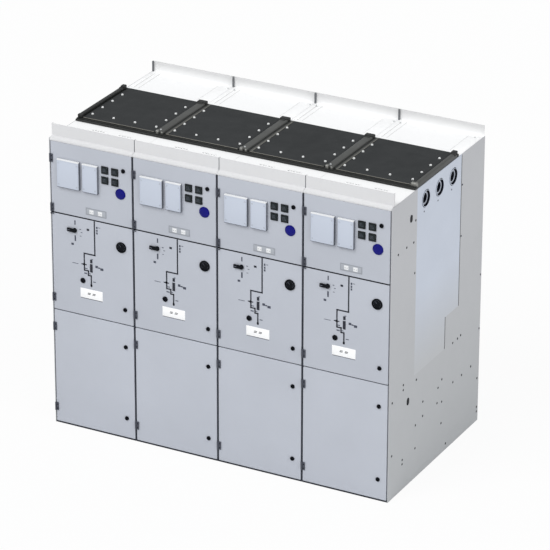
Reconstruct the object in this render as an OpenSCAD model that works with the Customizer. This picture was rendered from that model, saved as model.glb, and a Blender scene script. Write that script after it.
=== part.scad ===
/* [Row] */
// Width of one panel, centre to centre
panel_w = 600; // [520:10:720]
// Depth from the door faces to the back
row_d = 1320; // [1100:10:1580]
// Height of the roof sheets above the floor
roof_z = 1994; // [1850:2:2400]

/* [Doors] */
// Height of the middle of the split between cable door and mechanism door
cable_split_z = 811; // [700:1:960]
// Height of the middle of the split between mechanism door and low-voltage door
lv_split_z = 1489; // [1400:1:1560]
// Gap between one door and the door above it
door_split = 7; // [6:0.5:12]
// Vertical gap between the doors of neighbouring panels
door_gap = 14; // [14:0.5:20]
// How far the doors sit to the left of the middle between two joints
door_shift = 1; // [0:0.5:1.5]
// Height of the lowest door edge above the floor
door_foot = 12; // [8:1:30]
// Gap between the top door and the cornice above it
door_head = 18; // [14:1:30]
// Depth of the folded edge of a door
door_fold = 25; // [18:1:28]
// Sheet thickness of a door
door_sheet = 2; // [1.5:0.5:3]

/* [Hinges] */
// Radius of a hinge knuckle
knuckle_r = 5; // [4:0.25:5]
// Radius of a hinge pin
pin_r = 2.5; // [2:0.25:3]
// Radial clearance between pin and bore
pin_play = 0.05; // [0.03:0.01:0.09]
// Height of a whole hinge
hinge_h = 56; // [44:1:60]
// Height of its fixed knuckle
knuckle_h = 22; // [16:1:26]
// Width of the hinge from the panel joint
hinge_w = 25; // [20:1:32]
// Distance of the hinge pin in front of the door face
pin_front = 5; // [5:0.25:6]
// Height of the lower hinge above the bottom edge of the cable door
cable_hinge_low = 77; // [40:1:140]
// Drop of the upper hinge below the top edge of the cable door
cable_hinge_high = 88; // [60:1:160]
// Height of the hinge above the bottom edge of the mechanism door
mech_hinge_low = 57; // [40:1:140]
// Gap between a knuckle and the leaf beside it
leaf_gap = 1; // [0.5:0.25:1.5]
// How far the knuckles reach to the left of the panel joint
knuckle_lap = 2; // [1:0.25:2]
// Height of the lower hinge above the bottom edge of the low-voltage door
lv_hinge_low = 4; // [2:1:12]
// Drop of the upper hinge below the top edge of the low-voltage door
lv_hinge_high = 86; // [60:1:160]
// Thickness of the lug that hangs the mechanism door on the low-voltage hinge pin
lug_h = 6; // [4:0.5:8]
// Vertical gap between the lug and the edge of its door
lug_gap = 1; // [0.5:0.25:2]
// How far the pin reaches out below the lug
lug_pin_reach = 3; // [2:0.5:5]

/* [Sheets] */
// Thickness of the end walls and the outer sheets
sheet = 3; // [2:0.5:4]
// Thickness of the double wall between two panels
partition_t = 6; // [4:1:8]
// Width of a post behind a door gap
post_w = 16; // [12:1:24]
// Depth of the front posts
post_d = 30; // [20:1:50]
// Gap between the back of a door fold and the posts
post_gap = 5; // [5:0.5:10]
// Height of the rails between the posts
rail_h = 30; // [24:1:60]
// Depth of the low-voltage and mechanism compartments
front_zone_d = 350; // [300:5:420]
// Depth of the cable compartment
cable_zone_d = 600; // [500:10:700]
// Depth at which the rear duct starts
duct_d = 980; // [900:5:1040]
// Width of the seam along the rear edge of the tank plate
seam = 3; // [2:0.5:5]

/* [Base frame] */
// Height of the base frame
base_h = 40; // [30:1:60]
// Width of its rails
base_rail = 60; // [50:1:90]
// Radius of an anchor hole
anchor_r = 7; // [5:0.5:9]

/* [Tank plate] */
// Height of the lower edge of the tank plate
plate_foot_z = 733; // [600:1:780]
// Height of the step in its rear edge
plate_step_z = 955; // [850:1:1100]
// Depth of its narrow lower part
plate_step_d = 786; // [700:1:850]

/* [Busbar sockets] */
// Bore radius of a socket
socket_r = 32; // [26:1:36]
// Outer radius of a socket ring
socket_ring_r = 54; // [46:1:56]
// Radius of the opening in the tank plate
socket_hole_r = 58; // [57:0.5:62]
// Depth of the bore
socket_bore = 60; // [40:1:80]
// Length of the ring behind the tank plate
socket_len = 96; // [90:1:110]
// How far the ring stands out of the tank plate
socket_proud = 4; // [2:0.5:6]
// Distance between two sockets
socket_pitch = 195; // [180:1:200]
// Depth of the middle socket
socket_mid_d = 665; // [640:1:690]
// Distance of the sockets below the roof
socket_drop = 106; // [90:1:120]

/* [Roof] */
// Thickness of the roof sheets
roof_sheet = 4; // [2:0.5:6]
// Gap between the roof sheets of two panels
roof_gap = 2; // [1:0.5:4]
// Depth at which the tank covers start
cover_d0 = 352; // [340:1:370]
// Depth at which the tank covers end
cover_d1 = 925; // [860:1:940]
// Thickness of a tank cover
cover_t = 6; // [4:0.5:10]
// Height of a tank cover above the roof sheets
cover_rise = 22; // [16:1:30]
// Gap between a tank cover and the ridges beside it
cover_gap = 2; // [1:0.5:4]
// Width of a ridge between two tank covers
ridge_w = 76; // [60:1:100]
// Height of a ridge above the roof sheets
ridge_rise = 26; // [20:1:40]
// Width of the raised bar on a ridge
ridge_bar_w = 34; // [20:1:48]
// Height of the raised bar
ridge_bar_h = 10; // [6:1:16]
// Width of the end block at the rear of a ridge
ridge_block_w = 62; // [40:1:64]
// Depth of that block
ridge_block_d = 34; // [20:1:44]
// Height of that block above the bar
ridge_block_h = 8; // [4:1:14]
// Depth of the rail in front of the tank covers
front_rail_d = 18; // [12:1:24]
// Depth of the rail behind the tank covers
rear_rail_d = 15; // [10:1:20]

/* [Cornice and rear upstand] */
// Depth of the sloped foot of the cornice
cornice_d = 30; // [22:1:40]
// Height of the sloped foot
cornice_foot = 20; // [14:1:28]
// How far the sloped foot rises above the roof sheets
cornice_lift = 8; // [4:1:12]
// Height of the drip edge at the foot
cornice_lip = 4; // [3:0.5:6]
// Height of the cornice top above the roof sheets
cornice_rise = 88; // [60:1:110]
// Depth of the folded ends of the cornice
cornice_return = 16; // [8:1:24]
// Sheet thickness of cornice and rear upstand
upstand_t = 3; // [2:0.5:4]
// Height of the rear upstand above the roof sheets
rear_rise = 72; // [50:1:100]
// Width of a rear post
rear_post_w = 9; // [6:1:14]
// Depth of a rear post
rear_post_d = 12; // [8:1:20]

/* [Door fittings] */
// How far the relay covers stand out of the door
relay_proud = 20; // [14:1:26]
// Width of the large relay cover
relay_large_w = 162; // [120:1:170]
// Width of the small relay cover
relay_small_w = 112; // [90:1:120]
// Height of the relay covers
relay_h = 192; // [150:1:210]
// Distance of the large relay cover from the panel joint
relay_x = 58; // [50:1:64]
// Gap between the relay covers
relay_gap = 22; // [12:1:26]
// Drop of the relay covers below the split above them
relay_drop = 106; // [90:1:140]
// Side of a square instrument
instrument = 50; // [40:1:54]
// Distance between square instruments
instrument_pitch = 69; // [62:1:74]
// Distance of the right instruments in front of the lamp's middle
instrument_inset = 12; // [8:1:20]
// How far the upper instruments reach above the relay covers
instrument_rise = 6; // [0:1:12]
// How far instruments and locks stand out of the door
fitting_proud = 8; // [4:1:12]
// Diameter of a lock
lock_dia = 28; // [20:1:34]
// Distance of the locks from the right panel joint
lock_inset = 66; // [50:1:80]
// Diameter of the round lamp and of the pressure gauge
round_dia = 72; // [60:1:80]
// Distance of lamp and gauge from the right panel joint
round_inset = 88; // [70:1:96]
// Drop of the lamp below the top of the relay covers
lamp_drop = 160; // [140:1:180]
// Distance of the terminal strip from the left edge of the small relay cover
strip_inset = 15; // [5:1:25]
// Width of the terminal strip
strip_w = 150; // [120:1:160]
// Height of the strip above the bottom edge of its door
strip_rise = 28; // [20:1:40]
// Height of the strip
strip_h = 48; // [36:1:56]
// Distance of the rotary handle from the panel joint
handle_x = 120; // [100:1:130]
// Width of the handle
handle_w = 72; // [56:1:84]
// Height of its grip
handle_h = 22; // [16:1:28]
// Drop of the grip below the top edge of its door
handle_drop = 80; // [70:1:96]
// How far the handle stands out beyond the other fittings
handle_proud = 6; // [2:1:10]
// Drop of the pressure gauge below the top edge of its door
gauge_drop = 140; // [120:1:160]
// Distance of the key socket from the panel joint
key_x = 226; // [200:1:250]
// Height of the key socket above the bottom edge of its door
key_rise = 242; // [220:1:260]
// Diameter of the key socket
key_dia = 36; // [28:1:42]
// Height of the lock above the bottom edge of the mechanism door
mech_lock_rise = 102; // [70:1:120]
// Distance of the label plate from the panel joint
label_x = 206; // [190:1:220]
// Width of the label plate
label_w = 163; // [130:1:180]
// Height of the plate above the bottom edge of its door
label_rise = 124; // [100:1:140]
// Height of the plate
label_h = 66; // [50:1:76]
// Thickness of the plate
label_t = 2; // [1:0.5:3]
// Drop of the upper lock below the top edge of the cable door
cable_lock_drop = 152; // [120:1:200]
// Height of the lower lock above the bottom edge of the cable door
cable_lock_rise = 138; // [100:1:180]

/* [Behind the doors] */
// Radius of a bushing at its flange
bushing_r = 62; // [50:1:70]
// Length of a bushing
bushing_len = 150; // [120:1:170]
// Thickness of its flange
bushing_flange = 15; // [10:1:20]
// Distance between two bushings
bushing_pitch = 165; // [150:1:175]
// Height of the bushings above the base frame
bushing_rise = 540; // [440:5:600]
// Width of a drive unit
drive_w = 280; // [200:5:340]
// Height of a drive unit
drive_h = 400; // [300:5:440]
// Depth of a drive unit
drive_d = 130; // [100:5:160]
// Radius of the two drums in front of a drive unit
drum_r = 45; // [30:1:52]
// Length of the drums
drum_len = 30; // [20:1:40]
// Gap between the busbar chamber of a tank and the side plate openings
chamber_gap = 12; // [6:1:20]
// Margin around the low-voltage mounting plate
plate_margin = 40; // [30:1:60]
// Distance of that plate in front of the compartment back
plate_gap = 30; // [20:1:40]
// Width of the two bars that hold it
plate_bar_w = 20; // [14:1:30]
// Height of a row of devices on the plate
device_h = 80; // [60:1:90]
// Depth of a row of devices
device_d = 55; // [40:1:70]

/* [Hidden] */
$fn = 48;
panels = 4;
eps = 0.01;
pin_short = 2;                               // how far a pin ends below the top of its hinge
pane = 0.3;                                  // gap that keeps two curved surfaces apart
half_row = panels * panel_w / 2;
outer_x = half_row + sheet;                  // outer face of an end wall
front_y = (relay_proud - row_d) / 2;         // door faces, with the origin under the middle
split_half = door_split / 2;
post_d0 = door_fold + post_gap;              // front of the posts
post_d1 = post_d0 + post_d;
tank_d0 = front_zone_d + sheet;
door_w = panel_w - door_gap;
door_x0 = door_gap / 2 - door_shift;         // left edge of a door from the panel joint
door_top_z = roof_z - door_head;
pin_x = knuckle_r - knuckle_lap;             // hinge pin, from the panel joint
blue_grey = [0.72, 0.74, 0.79];
side_grey = [0.70, 0.71, 0.72];
near_black = [0.13, 0.14, 0.16];

door_names = ["lv_door", "lv_fittings", "mech_door", "mech_fittings", "cable_door",
              "cable_fittings"];
door_nodes = [for (n = [1:panels]) for (name = door_names) str(name, "_", n)];
fixed_nodes = ["base_frame", "end_walls", "tank_side_plates", "busbar_sockets", "partitions",
               "shelves", "compartment_backs", "front_frame", "frame_hinges", "rear_wall",
               "front_roof", "front_upstand", "rear_roof", "rear_upstand", "rear_posts",
               "tank_covers", "tank_ridges", "tank_rails", "gas_tanks", "bushings",
               "drive_units", "lv_mounting_plates"];

// Moves to panel n: x from its left joint, y from the door faces, z from the floor.
module panel(n) {
    translate([(n - 1) * panel_w - half_row, front_y, 0]) children();
}

module each_panel() {
    for (n = [1:panels]) panel(n) children();
}

// A box between two corners.
module block(low, high) {
    translate(low) cube(high - low);
}

// A round bar along the depth, standing out of the door face towards the front.
module boss(x, z, dia, proud) {
    translate([x, 0, z]) rotate([90, 0, 0]) cylinder(h = proud, d = dia);
}

// ---- doors ----

// A folded pan between two heights, open at the back.
module door_pan(z0, z1) {
    color(blue_grey) difference() {
        block([door_x0, 0, z0], [door_x0 + door_w, door_fold, z1]);
        block([door_x0 + door_sheet, door_sheet, z0 + door_sheet],
              [door_x0 + door_w - door_sheet, door_fold + eps, z1 - door_sheet]);
    }
}

// The moving half of a hinge that starts at height z.
module moving_half(z) {
    arm_d = pin_front - leaf_gap;
    moving_z = z + knuckle_h + pane;
    difference() {
        union() {
            block([pin_x + knuckle_r + leaf_gap, -pin_front, z], [hinge_w, 0, z + hinge_h]);
            block([pin_x, -arm_d, moving_z], [pin_x + knuckle_r + 2 * leaf_gap, 0, z + hinge_h]);
            translate([pin_x, -pin_front, moving_z])
                cylinder(h = z + hinge_h - moving_z, r = knuckle_r);
        }
        translate([pin_x, -pin_front, moving_z - eps])
            cylinder(h = hinge_h, r = pin_r + pin_play);
    }
}

// The fixed half: knuckle, pin and the leaf that runs back to the post.
module fixed_half(z, pin_below) {
    translate([pin_x, -pin_front, z]) cylinder(h = knuckle_h, r = knuckle_r);
    translate([pin_x, -pin_front, z - pin_below])
        cylinder(h = hinge_h - pin_short + pin_below, r = pin_r);
    block([pane, -pin_front, z], [pane + sheet, post_d0, z + knuckle_h]);
}

// The lug on the mechanism door that turns on the pin above it.
module door_lug(z) {
    difference() {
        union() {
            block([pin_x, -pin_front - leaf_gap, z], [hinge_w, 0, z + lug_h]);
            translate([pin_x, -pin_front, z]) cylinder(h = lug_h, r = knuckle_r);
        }
        translate([pin_x, -pin_front, z - eps])
            cylinder(h = lug_h + 2 * eps, r = pin_r + pin_play);
    }
}

cable_z0 = door_foot;
cable_z1 = cable_split_z - split_half;
mech_z0 = cable_split_z + split_half;
mech_z1 = lv_split_z - split_half;
lv_z0 = lv_split_z + split_half;
lug_z = mech_z1 - lug_h - lug_gap;
lv_hinge_z = lv_z0 + lv_hinge_low;
// Length of the lower low-voltage hinge's pin below its knuckle.
lug_pin = lv_hinge_z - lug_z + lug_pin_reach;
hinge_heights = [cable_z0 + cable_hinge_low,
                 cable_z1 - cable_hinge_high - hinge_h,
                 mech_z0 + mech_hinge_low,
                 lv_hinge_z,
                 door_top_z - lv_hinge_high - hinge_h];
lock_x = panel_w - lock_inset;
round_x = panel_w - round_inset;

module lv_door(n) {
    panel(n) door_pan(lv_z0, door_top_z);
}

module lv_fittings(n) {
    top = door_top_z - relay_drop;
    small_x = relay_x + relay_large_w + relay_gap;
    grid_x = round_x - instrument / 2 - instrument_inset;
    panel(n) {
        color("lightsteelblue") {
            block([relay_x, -relay_proud, top - relay_h], [relay_x + relay_large_w, 0, top]);
            block([small_x, -relay_proud, top - relay_h], [small_x + relay_small_w, 0, top]);
        }
        color(near_black) for (column = [0:1]) for (line = [0:1])
            translate([grid_x - column * instrument_pitch - instrument / 2, -fitting_proud,
                       top - line * instrument_pitch - instrument + instrument_rise])
                cube([instrument, fitting_proud, instrument]);
        color(near_black) boss(lock_x, top, lock_dia, fitting_proud);
        color("navy") boss(round_x, top - lamp_drop, round_dia, fitting_proud);
        color("silver") translate([small_x + strip_inset, -fitting_proud / 2, lv_z0 + strip_rise])
            cube([strip_w, fitting_proud / 2, strip_h]);
        color("dimgray") moving_half(hinge_heights[3]);
        color("dimgray") moving_half(hinge_heights[4]);
    }
}

module mech_door(n) {
    panel(n) door_pan(mech_z0, mech_z1);
}

module mech_fittings(n) {
    handle_d = fitting_proud + handle_proud;
    panel(n) {
        color(near_black) translate([handle_x, -handle_d, mech_z1 - handle_drop - handle_h])
            cube([handle_w, handle_d, handle_h]);
        color(near_black) boss(round_x, mech_z1 - gauge_drop, round_dia, fitting_proud);
        color(near_black) boss(lock_x, mech_z0 + mech_lock_rise, lock_dia, fitting_proud);
        color(near_black) boss(key_x, mech_z0 + key_rise, key_dia, fitting_proud);
        color("white") translate([label_x, -label_t, mech_z0 + label_rise])
            cube([label_w, label_t, label_h]);
        color("dimgray") moving_half(hinge_heights[2]);
        color("dimgray") door_lug(lug_z);
    }
}

module cable_door(n) {
    panel(n) door_pan(cable_z0, cable_z1);
}

module cable_fittings(n) {
    panel(n) {
        color(near_black) boss(lock_x, cable_z1 - cable_lock_drop, lock_dia, fitting_proud);
        color(near_black) boss(lock_x, cable_z0 + cable_lock_rise, lock_dia, fitting_proud);
        color("dimgray") moving_half(hinge_heights[0]);
        color("dimgray") moving_half(hinge_heights[1]);
    }
}

// ---- frame and walls ----

module base_frame() {
    rail_x0 = base_rail / 2;
    color("dimgray") {
        each_panel() {
            for (d = [post_d0, row_d - sheet - base_rail]) difference() {
                block([rail_x0, d, 0], [panel_w - rail_x0, d + base_rail, base_h]);
                translate([panel_w / 2, d + base_rail / 2, -eps])
                    cylinder(h = base_h + 2 * eps, r = anchor_r);
            }
        }
        for (joint = [0:panels]) translate([joint * panel_w - half_row, front_y, 0])
            block([joint == 0 ? 0 : -rail_x0, post_d0, 0],
                  [joint == panels ? 0 : rail_x0, row_d - sheet, base_h]);
    }
}

// One end wall in strips around the tank plate, drawn at its outer face.
module end_wall(x0) {
    translate([x0, front_y, 0]) {
        block([0, 0, 0], [sheet, front_zone_d, roof_z]);
        block([0, duct_d + seam, 0], [sheet, row_d, roof_z]);
        block([0, front_zone_d, 0], [sheet, duct_d + seam, plate_foot_z]);
        block([0, plate_step_d + seam, plate_foot_z], [sheet, duct_d + seam, plate_step_z]);
    }
}

module end_walls() {
    color(side_grey) {
        end_wall(-outer_x);
        end_wall(half_row);
    }
}

socket_depths = [for (i = [-1:1]) socket_mid_d + i * socket_pitch];
socket_z = roof_z - socket_drop;

// The stepped plate that closes the tank zone of an end wall.
module tank_side_plate(x0) {
    plate_top = roof_z - eps;
    difference() {
        translate([x0, front_y, 0]) {
            block([0, front_zone_d, plate_step_z], [sheet, duct_d, plate_top]);
            block([0, front_zone_d, plate_foot_z], [sheet, plate_step_d, plate_step_z]);
        }
        for (d = socket_depths) translate([x0 - eps, front_y + d, socket_z])
            rotate([0, 90, 0]) cylinder(h = sheet + 2 * eps, r = socket_hole_r);
    }
}

module tank_side_plates() {
    color("lightsteelblue") {
        tank_side_plate(-outer_x);
        tank_side_plate(half_row);
    }
}

// A socket ring along X, its mouth at x = 0 and its closed end further in.
module socket() {
    length = socket_len + sheet + socket_proud;
    rotate([0, 90, 0]) difference() {
        cylinder(h = length, r = socket_ring_r);
        translate([0, 0, -eps]) cylinder(h = socket_bore + eps, r = socket_r);
    }
}

module busbar_sockets() {
    mouth = outer_x + socket_proud;
    color("dimgray") for (d = socket_depths) {
        translate([-mouth, front_y + d, socket_z]) socket();
        translate([mouth, front_y + d, socket_z]) mirror([1, 0, 0]) socket();
    }
}

module partitions() {
    color(side_grey) for (joint = [1:panels - 1])
        translate([joint * panel_w - half_row, front_y, 0])
            block([-partition_t / 2, post_d1, base_h],
                  [partition_t / 2, row_d - sheet, roof_z - roof_sheet]);
}

inner_x0 = partition_t / 2;
inner_x1 = panel_w - partition_t / 2;

module shelves() {
    color(side_grey) each_panel() {
        block([inner_x0, post_d1, lv_split_z - sheet], [inner_x1, front_zone_d, lv_split_z]);
        block([inner_x0, post_d1, cable_split_z - sheet], [inner_x1, duct_d, cable_split_z]);
    }
}

module compartment_backs() {
    color(side_grey) each_panel() {
        block([inner_x0, front_zone_d, cable_split_z],
              [inner_x1, tank_d0, roof_z - roof_sheet]);
        block([inner_x0, cable_zone_d, base_h],
              [inner_x1, cable_zone_d + sheet, cable_split_z - sheet]);
        block([inner_x0, duct_d, base_h], [inner_x1, duct_d + sheet, roof_z - roof_sheet]);
    }
}

// Posts behind the door gaps, and rails behind the door splits.
module front_frame() {
    color(side_grey) {
        for (joint = [0:panels]) translate([joint * panel_w - half_row, front_y, 0])
            block([joint == 0 ? 0 : -post_w / 2, post_d0, base_h],
                  [joint == panels ? 0 : post_w / 2, post_d1, roof_z - roof_sheet]);
        each_panel() for (z = [base_h, cable_split_z - rail_h / 2, lv_split_z - rail_h / 2,
                               roof_z - roof_sheet - rail_h])
            block([post_w / 2, post_d0, z], [panel_w - post_w / 2, post_d1, z + rail_h]);
    }
}

module frame_hinges() {
    color("dimgray") each_panel() for (i = [0:len(hinge_heights) - 1])
        fixed_half(hinge_heights[i], i == 3 ? lug_pin : 0);
}

module rear_wall() {
    color(side_grey) each_panel()
        block([roof_gap / 2, row_d - sheet, 0], [panel_w - roof_gap / 2, row_d, roof_z]);
}

// ---- roof ----

module front_roof() {
    color("white") each_panel()
        block([roof_gap / 2, cornice_d + upstand_t, roof_z - roof_sheet],
              [panel_w - roof_gap / 2, cover_d0 - front_rail_d, roof_z]);
}

module rear_roof() {
    color("white") each_panel()
        block([roof_gap / 2, cover_d1 + rear_rail_d, roof_z - roof_sheet],
              [panel_w - roof_gap / 2, row_d - upstand_t, roof_z]);
}

// The cornice: a sloped foot over the doors, a standing plate and two folded ends.
module front_upstand() {
    foot_z = roof_z - cornice_foot + cornice_lift;
    top_z = roof_z + cornice_rise;
    x0 = roof_gap / 2;
    x1 = panel_w - roof_gap / 2;
    color("whitesmoke") each_panel() {
        translate([x0, 0, 0]) rotate([90, 0, 90]) linear_extrude(x1 - x0)
            polygon([[0, foot_z], [upstand_t, foot_z], [upstand_t, foot_z + cornice_lip],
                     [cornice_d, foot_z + cornice_foot - upstand_t],
                     [cornice_d + upstand_t, foot_z + cornice_foot - upstand_t],
                     [cornice_d + upstand_t, top_z], [cornice_d, top_z],
                     [cornice_d, foot_z + cornice_foot],
                     [0, foot_z + cornice_lip + upstand_t]]);
        for (x = [x0, x1 - upstand_t])
            block([x, cornice_d + upstand_t, roof_z],
                  [x + upstand_t, cornice_d + cornice_return, top_z]);
    }
}

module rear_upstand() {
    color("gainsboro") each_panel()
        block([roof_gap / 2, row_d - upstand_t, roof_z],
              [panel_w - roof_gap / 2, row_d, roof_z + rear_rise]);
}

module rear_posts() {
    color("dimgray") each_panel()
        block([0, row_d - upstand_t - rear_post_d, roof_z],
              [rear_post_w, row_d - upstand_t, roof_z + rear_rise]);
}

module tank_covers() {
    color("black") each_panel()
        block([ridge_w / 2 + cover_gap, cover_d0, roof_z + cover_rise - cover_t],
              [panel_w - ridge_w / 2 - cover_gap, cover_d1, roof_z + cover_rise]);
}

// A ridge box around the joint, cut off at the row's two ends.
module ridge_box(joint, width, low, high) {
    x0 = joint == 0 ? 0 : -width / 2;
    x1 = joint == panels ? 0 : width / 2;
    block([x0, low[0], low[1]], [x1, high[0], high[1]]);
}

// Ridges over the panel joints, with a raised bar and a rear block.
module tank_ridges() {
    ridge_z = roof_z + ridge_rise;
    bar_z = ridge_z + ridge_bar_h;
    block_z = bar_z + ridge_block_h;
    color("dimgray") for (joint = [0:panels])
        translate([joint * panel_w - half_row, front_y, 0]) {
            ridge_box(joint, ridge_w, [cover_d0, roof_z - roof_sheet], [cover_d1, ridge_z]);
            ridge_box(joint, ridge_bar_w, [cover_d0, ridge_z], [cover_d1, bar_z]);
            ridge_box(joint, ridge_block_w, [cover_d1 - ridge_block_d, bar_z],
                      [cover_d1, block_z]);
        }
}

// Rails that close the black zone in front of and behind the tank covers.
module tank_rails() {
    color(near_black) {
        translate([-half_row, front_y, 0]) {
            block([0, cover_d0 - front_rail_d, roof_z - roof_sheet],
                  [2 * half_row, cover_d0, roof_z + cover_rise - cover_t]);
            block([0, cover_d1, roof_z - roof_sheet],
                  [2 * half_row, cover_d1 + rear_rail_d, roof_z + cover_rise - cover_t]);
        }
    }
}

// ---- inside ----

// Each vessel is a wide lower part and a narrow busbar chamber under the tank cover.
module gas_tanks() {
    chamber_z = socket_z - socket_hole_r - chamber_gap;
    chamber_x0 = socket_len;
    color("silver") each_panel() {
        block([inner_x0, tank_d0, cable_split_z], [inner_x1, duct_d, chamber_z]);
        block([chamber_x0, tank_d0, chamber_z],
              [panel_w - chamber_x0, cover_d1, roof_z + cover_rise - cover_t]);
    }
}

module bushings() {
    z = base_h + bushing_rise;
    neck_r = bushing_r * 0.75;
    tip_r = bushing_r * 0.5;
    color("brown") each_panel() for (i = [-1:1])
        translate([panel_w / 2 + i * bushing_pitch, cable_zone_d, z]) rotate([90, 0, 0])
            rotate_extrude() polygon([[0, 0], [bushing_r, 0], [bushing_r, bushing_flange],
                                      [neck_r, bushing_flange], [tip_r, bushing_len],
                                      [0, bushing_len]]);
}

module drive_units() {
    x0 = (panel_w - drive_w) / 2;
    z0 = (cable_split_z + lv_split_z - drive_h) / 2;
    d0 = front_zone_d - drive_d;
    drum_z = z0 + drive_h * 0.65;
    color("gainsboro") each_panel() {
        block([x0, d0, z0], [x0 + drive_w, front_zone_d, z0 + drive_h]);
        for (x = [x0 + drive_w * 0.3, x0 + drive_w * 0.7])
            translate([x, d0, drum_z]) rotate([90, 0, 0]) cylinder(h = drum_len, r = drum_r);
    }
}

// A plate on two bars behind the low-voltage door, with three rows of devices.
module lv_mounting_plates() {
    plate_d = front_zone_d - plate_gap;
    z0 = lv_split_z + plate_margin;
    z1 = roof_z - roof_sheet - plate_margin - plate_bar_w;
    rows = 3;
    row_pitch = (z1 - z0) / rows;
    color("gainsboro") each_panel() {
        block([plate_margin, plate_d, z0], [panel_w - plate_margin, plate_d + sheet, z1]);
        for (x = [plate_margin, panel_w - plate_margin - plate_bar_w])
            block([x, plate_d + sheet, z0], [x + plate_bar_w, front_zone_d, z1]);
        for (i = [0:rows - 1]) {
            device_z = z0 + i * row_pitch + plate_gap;
            device_x1 = panel_w - plate_margin - plate_gap * (1 + 2 * i);
            block([plate_margin + plate_gap, plate_d - device_d, device_z],
                  [device_x1, plate_d, device_z + device_h]);
        }
    }
}

for (n = [1:panels]) {
    lv_door(n);
    lv_fittings(n);
    mech_door(n);
    mech_fittings(n);
    cable_door(n);
    cable_fittings(n);
}
base_frame();
end_walls();
tank_side_plates();
busbar_sockets();
partitions();
shelves();
compartment_backs();
front_frame();
frame_hinges();
rear_wall();
front_roof();
front_upstand();
rear_roof();
rear_upstand();
rear_posts();
tank_covers();
tank_ridges();
tank_rails();
gas_tanks();
bushings();
drive_units();
lv_mounting_plates();
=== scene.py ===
"""Looks of a row of four medium-voltage switchgear panels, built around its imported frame.
The frame, the lights and the camera are in metres; sizes of pieces and places on them are in mm."""

import math

import bmesh
import bpy
from mathutils import Matrix, Vector


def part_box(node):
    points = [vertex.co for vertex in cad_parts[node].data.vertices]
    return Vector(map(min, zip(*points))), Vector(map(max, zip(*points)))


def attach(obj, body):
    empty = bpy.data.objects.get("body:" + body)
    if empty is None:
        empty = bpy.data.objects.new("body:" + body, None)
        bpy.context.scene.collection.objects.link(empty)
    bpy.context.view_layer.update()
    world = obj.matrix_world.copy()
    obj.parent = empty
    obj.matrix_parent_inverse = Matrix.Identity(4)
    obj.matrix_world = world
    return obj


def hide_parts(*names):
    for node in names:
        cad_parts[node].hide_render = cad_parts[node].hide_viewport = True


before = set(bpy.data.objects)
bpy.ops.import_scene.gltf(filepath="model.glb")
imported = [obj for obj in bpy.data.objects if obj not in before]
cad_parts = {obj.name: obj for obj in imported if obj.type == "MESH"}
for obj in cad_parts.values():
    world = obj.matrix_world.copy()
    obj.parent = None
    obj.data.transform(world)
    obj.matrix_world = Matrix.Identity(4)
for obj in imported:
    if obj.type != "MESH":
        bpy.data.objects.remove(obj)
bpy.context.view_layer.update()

MM = 0.001
PANELS = range(1, 5)
JOINTS = range(1, 6)                     # panel joints and the row's two ends, from the left

# ---------------------------------------------------------------- places taken from the frame

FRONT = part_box("lv_door_1")[0].y         # plane of the door faces
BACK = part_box("rear_wall")[1].y
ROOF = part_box("end_walls")[1].z
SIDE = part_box("end_walls")[1].x          # outer face of the right end wall
PANEL = (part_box("lv_door_2")[0].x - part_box("lv_door_1")[0].x) / MM

# Places that several pieces share, from a panel's left joint.
DOOR_INSET = 6                           # left edges of the doors
LOCK_X = 534
DIAL_X = 512                             # blue lamp and pressure gauge
KEY_X = 226                              # key socket and the drive's shaft behind it


def joint_x(n):
    """X of the left joint of panel n, in metres; n = 5 is the right end of the row."""
    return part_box("lv_door_1")[0].x + ((n - 1) * PANEL - DOOR_INSET) * MM


# ---------------------------------------------------------------- materials

def linear(r, g, b):
    """An sRGB colour in 0 to 255 as Blender's linear values."""
    def one(c):
        c /= 255
        return c / 12.92 if c <= 0.04045 else ((c + 0.055) / 1.055) ** 2.4
    return (one(r), one(g), one(b), 1.0)


class Nodes:
    """A short way to write a material's node tree."""

    def __init__(self, name):
        self.material = bpy.data.materials.new(name)
        self.material.use_nodes = True
        self.tree = self.material.node_tree
        self.tree.nodes.clear()
        self.output = self.new("ShaderNodeOutputMaterial")
        self.shader = self.new("ShaderNodeBsdfPrincipled")
        self.link(self.shader.outputs[0], self.output.inputs[0])
        self.place = self.new("ShaderNodeTexCoord").outputs["Object"]

    def new(self, kind, **settings):
        node = self.tree.nodes.new(kind)
        for key, value in settings.items():
            setattr(node, key, value)
        return node

    def link(self, source, target):
        self.tree.links.new(source, target)

    def noise(self, scale, detail=2.0, stretch=(1, 1, 1)):
        mapping = self.new("ShaderNodeMapping")
        mapping.inputs["Scale"].default_value = stretch
        self.link(self.place, mapping.inputs["Vector"])
        noise = self.new("ShaderNodeTexNoise")
        noise.inputs["Scale"].default_value = scale
        noise.inputs["Detail"].default_value = detail
        self.link(mapping.outputs[0], noise.inputs["Vector"])
        return noise.outputs["Fac"]

    def span(self, value, low, high, from_low=0.3, from_high=0.7):
        """Maps a noise value to the range low to high."""
        node = self.new("ShaderNodeMapRange")
        for name, number in (("From Min", from_low), ("From Max", from_high),
                             ("To Min", low), ("To Max", high)):
            node.inputs[name].default_value = number
        self.link(value, node.inputs["Value"])
        return node.outputs[0]

    def mix(self, factor, a, b):
        node = self.new("ShaderNodeMix", data_type="RGBA")
        self.link(factor, node.inputs["Factor"])
        for socket, colour in ((node.inputs[6], a), (node.inputs[7], b)):
            if isinstance(colour, tuple):
                socket.default_value = colour
            else:
                self.link(colour, socket)
        return node.outputs[2]

    def bump(self, height, strength, distance):
        node = self.new("ShaderNodeBump")
        node.inputs["Strength"].default_value = strength
        node.inputs["Distance"].default_value = distance
        self.link(height, node.inputs["Height"])
        self.link(node.outputs[0], self.shader.inputs["Normal"])


def scaled(colour, factor):
    """A colour made lighter or darker."""
    return tuple(min(1.0, c * factor) for c in colour[:3]) + (1.0,)


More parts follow.
